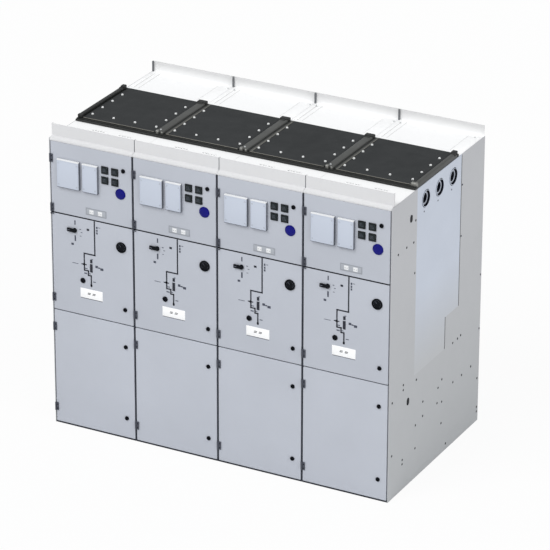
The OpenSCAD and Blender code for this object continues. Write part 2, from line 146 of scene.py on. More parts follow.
def coat(name, rgb, rough=0.45, cloud=0.03, peel=0.25, grain=420.0, speck=0.0, low=None,
         fade=(0.85, 1.75), shine=0.35):
    """Powder coat or moulded plastic: orange peel, faint clouding and uneven gloss. speck adds
    fine lighter flecks, low is a second colour that the first fades to downwards, between the two
    heights of fade, and shine is the strength of its highlights."""
    m = Nodes(name)
    base = linear(*rgb)
    clouds = m.noise(2.3, 4.0)
    colour = m.mix(m.span(clouds, 0, 1), scaled(base, 1 - cloud), scaled(base, 1 + cloud))
    if low:
        split = m.new("ShaderNodeSeparateXYZ")
        m.link(m.place, split.inputs[0])
        height = m.span(split.outputs["Z"], 0, 1, *fade)
        colour = m.mix(height, linear(*low), colour)
    if speck:
        flecks = m.span(m.noise(1500.0, 1.0), 0, speck, 0.58, 0.72)
        colour = m.mix(flecks, colour, scaled(base, 1.8))
    m.link(colour, m.shader.inputs["Base Color"])
    m.link(m.span(m.noise(9.0, 3.0), rough - 0.05, rough + 0.07), m.shader.inputs["Roughness"])
    m.shader.inputs["Specular IOR Level"].default_value = shine
    m.bump(m.noise(grain, 2.0), peel, 0.0004)
    return m.material


def metal(name, rgb, rough=0.32, stretch=(1, 1, 60), grain=30.0):
    """Brushed or plated metal, with grain lines along one axis."""
    m = Nodes(name)
    base = linear(*rgb)
    lines = m.noise(grain, 3.0, stretch)
    colour = m.mix(m.span(lines, 0, 1), scaled(base, 0.88), scaled(base, 1.08))
    m.link(colour, m.shader.inputs["Base Color"])
    m.shader.inputs["Metallic"].default_value = 0.9
    m.link(m.span(lines, rough - 0.06, rough + 0.1), m.shader.inputs["Roughness"])
    m.bump(lines, 0.15, 0.0003)
    return m.material


def lens(name, rgb):
    """Glossy coloured plastic of a lamp lens: fine ribs under a clear coat."""
    m = Nodes(name)
    base = linear(*rgb)
    rings = m.noise(26.0, 2.0)
    m.link(m.mix(m.span(rings, 0, 1), scaled(base, 0.9), scaled(base, 1.15)),
           m.shader.inputs["Base Color"])
    m.link(m.span(rings, 0.18, 0.28), m.shader.inputs["Roughness"])
    m.shader.inputs["Specular IOR Level"].default_value = 0.2
    m.bump(m.noise(700.0, 1.0), 0.1, 0.0002)
    return m.material


DOOR = coat("door_coat", (187, 191, 200), rough=0.42)
DOOR_INSIDE = coat("door_inside", (176, 179, 184), rough=0.5)
# Darker towards the bottom through the low colour: painted shade.
SIDE_SHEET = coat("side_sheet", (190, 191, 194), rough=0.5, cloud=0.02, low=(184, 186, 188),
                  fade=(0.2, 1.6))
# Bluish above, fading to plain grey downwards: the bluish tone is a painted reflection.
TANK_PLATE = coat("tank_plate", (199, 206, 219), rough=0.4, low=(190, 192, 195), fade=(0.76, 1.3))
INNER_SHEET = metal("inner_sheet", (168, 172, 176), rough=0.42, stretch=(1, 1, 8), grain=8.0)
ROOF_WHITE = coat("roof_white", (253, 253, 253), rough=0.6, cloud=0.004, shine=0.2)
CORNICE = coat("cornice_coat", (221, 221, 222), rough=0.5, cloud=0.012)
COVER = coat("cover_black", (48, 50, 51), rough=0.6, cloud=0.06, peel=0.45, speck=0.1,
             shine=0.15)
RIDGE = coat("ridge_dark", (76, 77, 75), rough=0.5, cloud=0.1, peel=0.5, speck=0.1)
# A pale colour for painted highlights along the tank covers' edges.
PAINTED_EDGE_HIGHLIGHT = coat("ridge_edge", (128, 126, 119), rough=0.5, cloud=0.08)
RAIL = coat("rail_black", (40, 41, 40), rough=0.5, cloud=0.08, peel=0.4)
FRAME_DARK = coat("frame_dark", (44, 47, 56), rough=0.5, cloud=0.05, shine=0.2)
HINGE = coat("hinge_dark", (72, 75, 85), rough=0.45, cloud=0.06, peel=0.4)
BLACK = coat("black_plastic", (9, 13, 19), rough=0.55, cloud=0.1, peel=0.2, shine=0.12)
SOFT_BLACK = coat("black_rubber", (26, 28, 32), rough=0.7, cloud=0.1, peel=0.5)
INSTRUMENT = coat("instrument_black", (24, 27, 29), rough=0.5, cloud=0.1, peel=0.3, shine=0.15)
SCREEN = lens("instrument_glass", (28, 36, 38))
RELAY = coat("relay_plastic", (198, 205, 218), rough=0.36, cloud=0.015, peel=0.15)
RELAY_EDGE = coat("relay_frame", (84, 88, 102), rough=0.5, cloud=0.03, shine=0.2)
STRIP = coat("strip_grey", (154, 158, 165), rough=0.45, cloud=0.03)
STRIP_LIGHT = coat("strip_light", (172, 176, 183), rough=0.45, cloud=0.03)
WHITE = coat("white_plastic", (236, 237, 238), rough=0.4, cloud=0.012, peel=0.15)
LABEL = coat("label_white", (254, 254, 254), rough=0.4, cloud=0.004, peel=0.1)
BLUE = lens("lamp_blue", (5, 8, 114))
INK = coat("mimic_film", (32, 35, 46), rough=0.4, cloud=0.04, peel=0.1)
INK_MID = coat("mimic_film_mid", (66, 70, 84), rough=0.45, cloud=0.04, peel=0.1)
INK_SOFT = coat("mimic_film_grey", (96, 100, 112), rough=0.45, cloud=0.04, peel=0.1)
ZINC = metal("zinc_plated", (226, 228, 228), rough=0.34, stretch=(8, 8, 8))
BOLT_BRIGHT = coat("bolt_bright", (240, 241, 240), rough=0.35, cloud=0.02, peel=0.1)
LUG_STEEL = metal("lug_steel", (150, 150, 146), rough=0.5, stretch=(4, 40, 4))
STEEL = metal("tank_stainless", (196, 197, 196), rough=0.3)
RESIN = coat("bushing_resin", (120, 58, 42), rough=0.38, cloud=0.05, peel=0.15)
SOCKET = coat("socket_resin", (178, 184, 196), rough=0.45, cloud=0.05)
# The socket's centre, deep in its bore, darker than the resin: painted shade.
SOCKET_SHADE = coat("socket_contact", (74, 78, 90), rough=0.5, cloud=0.08, shine=0.2)
# Near black inside the sockets' groove and bore: painted shade.
SOCKET_DARK = coat("socket_inside", (26, 29, 40), rough=0.65, cloud=0.1, shine=0.1)
SEAM = coat("seam_grey", (104, 105, 106), rough=0.6, cloud=0.05, shine=0.1)
# A mid grey for painted shade down the sides of the relay covers.
RELAY_SIDE_PAINTED_SHADE = coat("side_seam", (124, 128, 136), rough=0.6, cloud=0.05, shine=0.1)
SEAM_DARK = coat("seam_dark", (70, 74, 82), rough=0.6, cloud=0.05, shine=0.1)
# The rear posts are grey against the white sheets: painted shade on their flanges.
REAR_POST_PAINTED_SHADE = coat("rear_post_grey", (108, 110, 113), rough=0.5, cloud=0.05)
# Grey at the top, fading to near white at the foot: painted shade.
REAR_UPSTAND_PAINTED_SHADE = coat("rear_upstand_coat", (219, 219, 219), rough=0.5, cloud=0.01,
                    low=(250, 250, 250), fade=(1.995, 2.05))
SEAM_LIGHT = coat("seam_light", (206, 206, 204), rough=0.6, cloud=0.02)
DRIVE = coat("drive_coat", (176, 178, 180), rough=0.45)

# ---------------------------------------------------------------- shapes

def grown(work):
    """Runs work on an empty bmesh and returns its vertices and faces."""
    bm = bmesh.new()
    work(bm)
    bm.normal_update()
    bm.verts.index_update()
    shape = ([v.co.copy() for v in bm.verts], [[v.index for v in f.verts] for f in bm.faces])
    bm.free()
    return shape


def soft_box(size, radius=0.0, steps=2):
    """A box around the origin with rounded edges; size and radius are in metres."""
    def work(bm):
        bmesh.ops.create_cube(bm, size=1.0)
        bmesh.ops.scale(bm, vec=size, verts=bm.verts)
        if radius:
            bmesh.ops.bevel(bm, geom=bm.edges, offset=min(radius, min(size) * 0.45),
                            segments=steps, affect="EDGES", profile=0.5)
    return grown(work)


def turned(*profile, steps=40):
    """Points (radius, height) in mm turned about Z; an end that is off the axis stays open."""
    verts, faces, rings = [], [], []
    for radius, height in profile:
        if radius == 0:
            rings.append([len(verts)])
            verts.append(Vector((0, 0, height * MM)))
        else:
            rings.append([len(verts) + i for i in range(steps)])
            for i in range(steps):
                a = math.tau * i / steps
                verts.append(MM * Vector((radius * math.cos(a), radius * math.sin(a), height)))
    for low, high in zip(rings, rings[1:]):
        for i in range(steps):
            j = (i + 1) % steps
            if len(low) == 1:
                faces.append([high[i], high[j], low[0]])
            elif len(high) == 1:
                faces.append([low[i], low[j], high[0]])
            else:
                faces.append([low[i], low[j], high[j], high[i]])
    return verts, faces


def slab(outline, thickness, radius=0):
    """An outline of (x, y) points made solid from z = 0 up, its upper rim rounded, in mm."""
    def work(bm):
        low = [bm.verts.new((x * MM, y * MM, 0)) for x, y in outline]
        face = bm.faces.new(low)
        out = bmesh.ops.extrude_face_region(bm, geom=[face])
        top = [v for v in out["geom"] if isinstance(v, bmesh.types.BMVert)]
        bmesh.ops.translate(bm, vec=(0, 0, thickness * MM), verts=top)
        bmesh.ops.recalc_face_normals(bm, faces=bm.faces)
        if radius:
            rim = [e for e in bm.edges if all(v.co.z > thickness * MM * 0.9 for v in e.verts)]
            bmesh.ops.bevel(bm, geom=rim, offset=radius * MM, segments=2, affect="EDGES",
                            profile=0.5)
    return grown(work)


def stadium(length, width, steps=10):
    """The outline of a bar with round ends, along X."""
    r = width / 2
    points = []
    for side in (1, -1):
        for i in range(steps + 1):
            a = -math.pi / 2 + math.pi * i / steps
            points.append((side * (length / 2 - r + r * math.cos(a)), side * r * math.sin(a)))
    return points


def hexagon(width):
    """The outline of a hexagon, width across its flats."""
    r = width / math.sqrt(3)
    return [(r * math.cos(math.pi * i / 3), r * math.sin(math.pi * i / 3)) for i in range(6)]


def border(x0, x1, z0, z1, width):
    """The four strips along the inside of a rectangle, each as a pair for x and one for z."""
    return (((x0, x0 + width), (z0, z1)), ((x1 - width, x1), (z0, z1)),
            ((x0 + width, x1 - width), (z0, z0 + width)),
            ((x0 + width, x1 - width), (z1 - width, z1)))


def shift(x, y, z):
    """A move in mm."""
    return Matrix.Translation((x * MM, y * MM, z * MM))


TO_FRONT = Matrix.Rotation(math.radians(90), 4, "X")       # +Z of a shape points to -Y
TO_BACK = Matrix.Rotation(math.radians(-90), 4, "X")       # +Z of a shape points to +Y
TO_RIGHT = Matrix.Rotation(math.radians(90), 4, "Y")       # +Z of a shape points to +X
TO_LEFT = Matrix.Rotation(math.radians(-90), 4, "Y")       # +Z of a shape points to -X
UP = Matrix.Identity(4)


class Piece:
    """One visible piece: shapes are added at places, each with a material, then made one mesh.
    Places are in mm from an origin, which moves from panel to panel."""

    def __init__(self, name, body, slot, *materials, replaces=()):
        self.name, self.body, self.slot = name, body, slot
        self.materials, self.replaces = list(materials), replaces
        self.verts, self.faces, self.looks = [], [], []
        self.origin = (0, 0, 0)

    def move(self, x, y, z):
        """Sets the origin, in metres."""
        self.origin = (x, y, z)

    def at(self, x, y, z):
        """A place in mm from the origin, as a vector in metres."""
        return Vector([start + step * MM for start, step in zip(self.origin, (x, y, z))])

    def join(self, shape, place, look):
        start = len(self.verts)
        self.verts += [place @ v for v in shape[0]]
        self.faces += [[start + i for i in face] for face in shape[1]]
        look = self.materials[0] if look is None else look
        if look not in self.materials:
            self.materials.append(look)
        self.looks += [self.materials.index(look)] * len(shape[1])

    def add(self, shape, place, turn=UP, look=None):
        """Adds a shape at a place in mm."""
        self.join(shape, Matrix.Translation(self.at(*place)) @ turn, look)

    def block(self, x, y, z, radius=0, look=None, steps=2):
        """Adds a box with rounded edges; x, y and z are each a pair from, to in mm."""
        low, high = (self.at(*corner) for corner in zip(x, y, z))
        shape = soft_box(high - low, radius * MM, steps)
        self.join(shape, Matrix.Translation((low + high) / 2), look)

    def done(self):
        mesh = bpy.data.meshes.new(self.name)
        mesh.from_pydata([tuple(v) for v in self.verts], [], self.faces)
        mesh.polygons.foreach_set("material_index", self.looks)
        for material in self.materials:
            mesh.materials.append(material)
        mesh.polygons.foreach_set("use_smooth", [True] * len(mesh.polygons))
        mesh.set_sharp_from_angle(angle=math.radians(32))
        piece = bpy.data.objects.new(self.name, mesh)
        bpy.context.scene.collection.objects.link(piece)
        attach(piece, self.body)
        if self.replaces:
            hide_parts(*self.replaces)


# ---------------------------------------------------------------- small fittings

WASHER = 1.2


def hex_bolt(width=13, height=5.5):
    """A hexagon head on its washer."""
    washer = turned((0, 0), (width * 0.62, 0), (width * 0.62, WASHER), (0, WASHER), steps=24)
    head = slab(hexagon(width), height, 0.8)
    verts = washer[0] + [shift(0, 0, WASHER) @ v for v in head[0]]
    first = len(washer[0])
    return verts, washer[1] + [[i + first for i in f] for f in head[1]]


BOLT = hex_bolt()
SMALL_BOLT = hex_bolt(10, 4)
SEAM_BOLT = hex_bolt(10, 2.2)
RIVET = turned((6, 0), (5, 1.2), (3, 1.7), (0, 2), steps=18)
PIN_HOLE = turned((5, 0), (4.6, 0.5), (3.6, 0.5), (3.2, 0.15), (0, 0.15), steps=18)
WALL_HOLE = turned((8, 0), (7.4, 0.6), (5.6, 0.7), (5, 0.2), (0, 0.2), steps=20)
SLOT_PLUG = slab(stadium(50, 34), 1.6, 0.6)
VENT_SLOT = slab(stadium(14, 4, 6), 0.4)
SCREW = turned((3.6, 0), (3.4, 1.2), (2.2, 1.8), (0, 2), steps=16)
FLAT_SCREW = turned((5, 0), (4.6, 1), (2, 1.3), (0, 1.3), steps=18)
TEST_JACK = turned((0, 0.1), (2.2, 0.1), (2.6, 0.4), steps=16)
LAMP_RIM = turned((36, 0), (36, 3), (35, 4), (32.5, 4.2), (32, 3), (0, 3), steps=56)
LAMP_LENS = turned((32, 2), (31.6, 4.6), (29, 6.2), (22, 7.2), (12, 7.8), (0, 8), steps=56)
GAUGE_CASE = turned((36, 0), (36, 5.6), (34.6, 7.6), (31, 7.8), (30, 6.4), (29.6, 2.4), (0, 2.4),
                    steps=56)
GAUGE_HUB = turned((4, 2.4), (4, 4.4), (0, 4.8), steps=20)
HANDLE_HUB = turned((15.5, 0), (15.5, 10), (14, 12.4), (0, 13))
KEY_SOCKET = turned((18, 0), (18, 4), (16, 6), (10, 6.4), (9, 2.4), (0, 2.4), steps=36)
KEY_SHAFT = turned((16, 0), (16, 8), (7, 10), (7, 160), (6, 162), (0, 162), steps=28)
DRUM = turned((45, 0), (45, 5), (41, 7), (41, 22), (45, 24), (45, 28), (43, 30), (32, 30),
              (30, 26), (13, 26), steps=48)
DRUM_HUB = turned((13, 26), (12, 30), (0, 30), steps=32)
LOCK_RIM = turned((14, 0), (14, 5), (12.6, 7.4), (9.5, 7.6), (8.6, 6), (8.4, 2), (0, 2), steps=36)
LOCK_CORE = turned((3.2, 0), (3.2, 5.4), (2.6, 6), (0, 6), steps=20)
LUG_EYE = turned((2.6, 0), (4.6, 0), (5, 0.6), (5, 5.4), (4.6, 6), (2.6, 6), steps=28)


def add_lock(p, x, z):
    """A quarter-turn lock: rim, round core and the two bits for its key."""
    p.add(LOCK_RIM, (x, 0, z), TO_FRONT, BLACK)
    p.add(LOCK_CORE, (x, 0, z), TO_FRONT, BLACK)
    p.block((x - 6.6, x + 6.6), (-4.6, -1), (z - 1.1, z + 1.1), 0.3, BLACK)


# ---------------------------------------------------------------- doors

SHEET = 2
BEND = 3.2               # outer radius of the door's folded edges
LIP = 13                 # width of the return at the back of a door's fold
GASKET_INSET = 24
HINGE_HEIGHT = 56
HINGE_LEAF = (9, 23)     # from the panel joint
FIXED_KNUCKLE = 22       # the part of a hinge's height that the frame's half takes
PIN_X, PIN_PROUD = 3, 5  # the hinge pins, from the panel joint and before the door faces
LUG = 6                  # height of the lug at the top of a middle door


def door_shell(size):
    """A pan of folded sheet, open at the back, with rounded front and corner edges."""
    def work(bm):
        bmesh.ops.create_cube(bm, size=1.0)
        bmesh.ops.scale(bm, vec=size, verts=bm.verts)
        rear = [f for f in bm.faces if f.calc_center_median().y > size.y * 0.49]
        bmesh.ops.delete(bm, geom=rear, context="FACES")
        edges = [e for e in bm.edges if not e.is_boundary]
        bmesh.ops.bevel(bm, geom=edges, offset=BEND * MM, segments=4, affect="EDGES", profile=0.5)
        bmesh.ops.recalc_face_normals(bm, faces=bm.faces)
        bmesh.ops.solidify(bm, geom=bm.faces, thickness=SHEET * MM)
        bmesh.ops.recalc_face_normals(bm, faces=bm.faces)
    return grown(work)


def make_door(kind, n):
    """A door leaf with its return lips, gasket and two stiffeners on the inside."""
    node = f"{kind}_door_{n}"
    low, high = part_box(node)
    wide, deep, tall = (high - low) / MM
    p = Piece(f"{kind}_leaf_sheet_{n}", f"{kind}_leaf_{n}", "door_grey", DOOR, replaces=[node])
    p.move(*low)
    p.add(door_shell(high - low), (wide / 2, deep / 2, tall / 2))
    back = (deep - SHEET, deep)
    for x in ((SHEET / 2, LIP), (wide - LIP - SHEET / 2, wide - SHEET)):
        p.block(x, back, (SHEET, tall - SHEET), 0.5)
    for z in ((SHEET / 2, LIP), (tall - LIP, tall - SHEET / 2)):
        p.block((LIP, wide - LIP), back, z, 0.5)
    for x, z in border(GASKET_INSET, wide - GASKET_INSET, GASKET_INSET, tall - GASKET_INSET, 10):
        p.block(x, (SHEET, SHEET + 9), z, 2, SOFT_BLACK)
    for share in (0.33, 0.62):
        x = share * wide
        p.block((x - 18, x + 18), (SHEET, SHEET + 12), (60, tall - 60), 2, DOOR_INSIDE)
    p.done()


def door_piece(kind, n, name, slot, look):
    """A piece for a door's fittings and the door's height in mm. Its origin is on the door faces,
    at the panel joint and the door's foot."""
    low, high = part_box(f"{kind}_door_{n}")
    p = Piece(f"{name}_{n}", f"{kind}_leaf_{n}", slot, look, replaces=[f"{kind}_fittings_{n}"])
    p.move(low.x - DOOR_INSET * MM, FRONT, low.z)
    return p, (high.z - low.z) / MM


def add_hinge(p, z):
    """The moving half of a hinge: leaf on the door face, knuckle around the pin, two screws."""
    top, moving = z + HINGE_HEIGHT, z + FIXED_KNUCKLE + 0.3
    long = top - moving
    p.block(HINGE_LEAF, (-PIN_PROUD, 0), (z, top), 1.2, HINGE)
    p.block((PIN_X + 3.6, 12), (-4, -0.2), (moving, top), 0.4, HINGE)
    barrel = turned((2.6, 0), (4.6, 0), (5, 0.5), (5, long - 0.6), (4.5, long), (0, long), steps=28)
    p.add(barrel, (PIN_X, -PIN_PROUD, moving), UP, HINGE)
    for share in (0.25, 0.75):
        p.add(SCREW, (15, -PIN_PROUD, z + share * HINGE_HEIGHT), TO_FRONT, BLACK)


# ---------------------------------------------------------------- low-voltage door

RELAYS = ((58, 220), (242, 354))     # the relay covers, from and to
RELAY_DROP = 106                     # below the door top
RELAY_HEIGHT = 192
RELAY_PROUD = 20


def add_relay_cover(p, x0, x1, top):
    """A protective cover: pale shell, white top edge (painted highlight), dark foot and shaded sides
    (painted shade) and a fine rib.
    """
    foot, face = top - RELAY_HEIGHT, -RELAY_PROUD
    p.block((x0, x1), (-3, 0), (foot, top), 0.8, RELAY_EDGE)
    p.block((x0 + 3, x1 - 2), (face + 1, -2), (foot + 3.5, top - 5), 1.6, RELAY, 3)
    # A grey strip down the cover's right side: painted shade.
    p.block((x1 - 2.4, x1 - 0.6), (face + 2, -2), (foot + 4, top - 4), 0.5, RELAY_SIDE_PAINTED_SHADE)
    # A dark strip along the cover's foot: painted shade under it.
    p.block((x0 + 1, x1 - 1), (face + 3, -2), (foot, foot + 4.2), 0.8, RELAY_EDGE)
    # A grey strip down the cover's left side: painted shade.
    p.block((x0 + 0.8, x0 + 3.4), (face + 5, -2), (foot + 1, top - 7), 0.6, RELAY_SIDE_PAINTED_SHADE)
    # A white band along the cover's top: painted highlight.
    p.block((x0 + 2.5, x1 - 1), (face, -2), (top - 7, top), 1.2, WHITE)
    rib, rib_proud = 1.2, (face + 0.4, face + 1.4)
    for z in (foot + 9, top - 14):
        p.block((x0 + 8, x1 - 8), rib_proud, (z, z + rib), 0, RELAY)
    for x in (x0 + 8, x1 - 8 - rib):
        p.block((x, x + rib), rib_proud, (foot + 9, top - 14), 0, RELAY)
    for z in (foot + 22, top - 26):
        for x in (x0 + 15, x1 - 15):
            p.add(PIN_HOLE, (x, face + 1.2, z), TO_FRONT, STRIP)


def add_instrument(p, x, z):
    """A square panel instrument with three plain bars on its screen."""
    p.block((x - 25, x + 25), (-7, 0), (z - 25, z + 25), 2, INSTRUMENT, 3)
    p.block((x - 20, x + 20), (-7.8, -6), (z - 19, z + 19), 0.8, SCREEN)
    for i in range(3):
        foot = z + 8 - 8 * i
        p.block((x - 14, x + 6 + 3 * i), (-8, -7.7), (foot, foot + 1.4), 0, INK_SOFT)


def add_test_strip(p, z):
    """A grey strip with two white test sockets."""
    p.block((257, 407), (-1.6, 0), (z, z + 48), 0.7, STRIP)
    p.block((263, 401), (-2.4, -1), (z + 6, z + 42), 0.7, STRIP_LIGHT)
    for x in (299.5, 362):
        p.block((x - 15, x + 15), (-4, -2), (z + 10, z + 38), 1.6, WHITE, 3)
        for dx in (-7, 7):
            p.add(TEST_JACK, (x + dx, -4, z + 23), TO_FRONT, STRIP)


def make_lv_fittings(n):
    p, tall = door_piece("lv", n, "lv_instruments", "relay_plastic", RELAY)
    top = tall - RELAY_DROP
    for x0, x1 in RELAYS:
        add_relay_cover(p, x0, x1, top)
    for x in (402, 474):
        for z in (top - 19, top - 88):
            add_instrument(p, x, z)
    add_lock(p, LOCK_X, top)
    for shape in (LAMP_RIM, LAMP_LENS):
        p.add(shape, (DIAL_X, 0, top - 160), TO_FRONT, BLUE)
    # A dark film along the door's foot, darkening the gap below it: painted shade.
    p.block((9, 588), (-0.3, 2), (0, 1.8), 0, FRAME_DARK)
    add_test_strip(p, 28)
    for z in (4, tall - 86 - HINGE_HEIGHT):
        add_hinge(p, z)
    p.done()


# ---------------------------------------------------------------- mechanism door

FILM = 0.7                # thickness of the mimic diagram's film
LINE = 9                  # width of its lines

# The mimic diagram's main line, as places (x from the panel joint, drop below the door top).
MIMIC_LINE = [(317, 5), (317, 237), (238, 237), (238, 354), (267, 354), (267, 385), (287, 385),
              (287, 458)]

# Its symbols and marks by colour, each as x and drop of the middle, width and height.
MIMIC_MARKS = [
    (INK, [(236, 314, 38, 7), (236, 314, 14, 14), (289, 284, 17, 24), (287, 452, 14, 14),
           (269, 69, 18, 14)]),
    (INK_MID, [(328, 314, 18, 16), (346, 318, 14, 8), (366, 324, 22, 16), (335, 42, 10, 14),
               (335, 62, 10, 14), (335, 80, 10, 14), (175, 38, 8, 30), (175, 146, 10, 38),
               (154, 189, 18, 14)]),
    (INK_SOFT, [(250, 340, 20, 6), (276, 372, 16, 5), (247, 375, 22, 9), (310, 424, 20, 6),
                (172, 319, 44, 4), (296, 268, 12, 5), (352, 40, 14, 4), (212, 78, 12, 5),
                (222, 98, 12, 4), (214, 124, 12, 4)])]


def add_mimic(p, top):
    """The mimic diagram: its main line, symbols and marks as films, and one raised bar."""
    half = LINE / 2
    for start, end in zip(MIMIC_LINE, MIMIC_LINE[1:]):
        (x0, x1), (near, far) = (sorted(pair) for pair in zip(start, end))
        p.block((x0 - half, x1 + half), (-FILM, 0), (top - far - half, top - near + half), 0, INK)
    for look, marks in MIMIC_MARKS:
        for x, drop, wide, tall in marks:
            p.block((x - wide / 2, x + wide / 2), (-FILM, 0),
                    (top - drop - tall / 2, top - drop + tall / 2), 0, look)
    p.block((280, 298), (-2.5, 0), (top - 359, top - 303), 0, INK)


def add_handle(p, x, z):
    """The rotary handle: hub, grip and a grey mark on the grip."""
    p.add(HANDLE_HUB, (x + 17, 0, z), TO_FRONT, BLACK)
    p.block((x - 36, x + 30), (-13.8, -5), (z - 13, z + 13), 5, BLACK, 3)
    p.block((x - 30, x - 14), (-14, -13.4), (z - 2, z + 2), 0, INK_SOFT)


def add_gauge(p, x, z):
    """The pressure gauge: case with a sunk dial, eleven ticks, pointer and hub."""
    p.add(GAUGE_CASE, (x, 0, z), TO_FRONT, BLACK)
    tick = soft_box(Vector((1.2 * MM, 5 * MM, 0.5 * MM)))
    for i in range(11):
        spin = Matrix.Rotation(math.radians(130 - 26 * i), 4, "Z")
        p.add(tick, (x, 0, z), TO_FRONT @ spin @ shift(0, 24, 2.6), INK_SOFT)
    pointer = soft_box(Vector((1.6 * MM, 26 * MM, 0.6 * MM)))
    spin = Matrix.Rotation(math.radians(38), 4, "Z")
    p.add(pointer, (x, 0, z), TO_FRONT @ spin @ shift(0, 8, 3.4), INK_SOFT)
    p.add(GAUGE_HUB, (x, 0, z), TO_FRONT, BLACK)


def add_label(p):
    """The white label plate with a dark lower edge and two plain marks."""
    p.block((206, 369), (-1.6, 0), (124, 190), 0.7, LABEL)
    p.block((208, 367), (-1.2, 0), (120, 124.6), 0.4, INK_MID)
    for x in (262, 297):
        for x0, z in ((x, 160), (x - 3, 152)):
            p.block((x0, x0 + 20), (-1.9, -1.4), (z, z + 4.5), 0, INK)


def make_mech_fittings(n):
    p, tall = door_piece("mech", n, "mech_controls", "fitting_black", BLACK)
    add_mimic(p, tall)
    add_handle(p, 156, tall - 91)
    add_gauge(p, DIAL_X, tall - 140)
    p.add(KEY_SOCKET, (KEY_X, 0, 242), TO_FRONT, BLACK)
    add_lock(p, LOCK_X, 102)
    add_label(p)
    add_hinge(p, 57)
    foot = tall - LUG - 1
    p.block((7, HINGE_LEAF[1]), (-6, 0), (foot, foot + LUG), 0.8, HINGE)
    p.add(LUG_EYE, (PIN_X, -PIN_PROUD, foot), UP, HINGE)
    p.done()


def make_cable_fittings(n):
    p, tall = door_piece("cable", n, "cable_locks", "fitting_black", BLACK)
    for z in (138, tall - 152):
        add_lock(p, LOCK_X, z)
    for z in (77, tall - 88 - HINGE_HEIGHT):
        add_hinge(p, z)
    p.done()


# ---------------------------------------------------------------- roof

COVER_FRONT, COVER_REAR = ((corner.y - FRONT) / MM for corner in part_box("tank_covers"))
COVER_TOP = (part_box("tank_covers")[1].z - ROOF) / MM
RIDGE_HALF = 38                      # half width of a ridge
SEAT, BAR, LUMP = 16, 36, 44         # tops of a ridge's seat, bar and rear lump, above the roof
REAR_MARKS = (1000, 1292)            # depth of the rear roof's strips, from and to


def make_roof_bolts():
    """Hexagon bolts along three edges of each tank cover."""
    p = Piece("tank_cover_bolts", "root", "tank_steel", BOLT_BRIGHT)
    front = 423
    for n in PANELS:
        p.move(joint_x(n), FRONT, ROOF)
        for x in (67, 533):
            for i in range(4):
                p.add(BOLT, (x, front + 126 * i, COVER_TOP))
        for x in (222, 378):
            p.add(BOLT, (x, front, COVER_TOP))
    p.done()


def add_ridge(p, first, last):
    """A ridge over a panel joint, or half of one at an end of the row."""
    left, right = (0 if first else -RIDGE_HALF), (0 if last else RIDGE_HALF)
    front, rear = COVER_FRONT, COVER_REAR
    p.block((left, right - 4 if last else right), (front, rear), (-4, SEAT), 0, RAIL)
    p.block((max(left, -25), min(right, 27)), (front + 2, rear - 2), (-3 if last else SEAT - 2, BAR),
            7, RAIL if first else RIDGE, 4)
    p.block((max(left, -33), min(right, 30)), (rear - 36, rear), (SEAT, LUMP), 5, RAIL, 3)
    p.block((max(left, -24), min(right, 14)), (rear - 58, rear - 30), (SEAT, LUMP - 5), 5, RAIL, 3)
    if first:
        p.block((0, 34), (front - 6, front + 20), (SEAT, LUMP - 6), 6, RAIL, 3)
        return
    # A dark strip along the ridge's left side: painted shadow.
    p.block((left, left + 10), (front + 4, rear - 4), (SEAT, SEAT + 7), 1, SOFT_BLACK)
    p.block((-46, 0) if last else (-31, -8), (front - 8, front + 18), (SEAT - 10, BAR + 0.8), 8,
            LUG_STEEL, 4)
    if last:
        return
    p.block((right - 9, right - 1), (front + 4, rear - 4), (SEAT, SEAT + 9), 1.4, RAIL)
    p.block((right, right + 15), (front + 3, rear - 8), (COVER_TOP - 1, COVER_TOP + 2.5), 1, RIDGE)
    # A light strip along the next cover's edge: painted highlight.
    p.block((right + 13, right + 16), (front + 3, rear - 8), (COVER_TOP - 1, COVER_TOP + 3), 0.6,
            PAINTED_EDGE_HIGHLIGHT)
    p.block((4, 20), (front - 4, front + 8), (SEAT - 6, BAR - 5), 4, LUG_STEEL, 3)
    p.add(SMALL_BOLT, (-2, front + 16, BAR), UP, ZINC)


def make_ridges():
    """The ridges over the panel joints: dark seat, rounded bar, bright edge that is a painted
    highlight, a painted shadow on the left, lumps at the ends.
    """
    p = Piece("tank_ridge_bars", "root", "ridge_grey", RIDGE, replaces=["tank_ridges"])
    for n in JOINTS:
        p.move(joint_x(n), FRONT, ROOF)
        add_ridge(p, n == JOINTS[0], n == JOINTS[-1])
    p.done()


def make_roof_edges():
    """The front edges of the tank covers with a painted highlight, and the lower lip of the front
    rail.
    """
    p = Piece("tank_cover_edges", "root", "ridge_grey", PAINTED_EDGE_HIGHLIGHT)
    for n in PANELS:
        p.move(joint_x(n), FRONT, ROOF)
        # A light strip along each cover's front edge: painted highlight.
        p.block((42, PANEL - 42), (COVER_FRONT - 2, COVER_FRONT + 1), (COVER_TOP - 3, COVER_TOP + 0.6),
                0.4)
    p.move(joint_x(1), FRONT, ROOF)
    p.block((0, PANEL * len(PANELS)), (COVER_FRONT - 32, COVER_FRONT - 17), (0, 13), 2, RAIL)
    p.done()


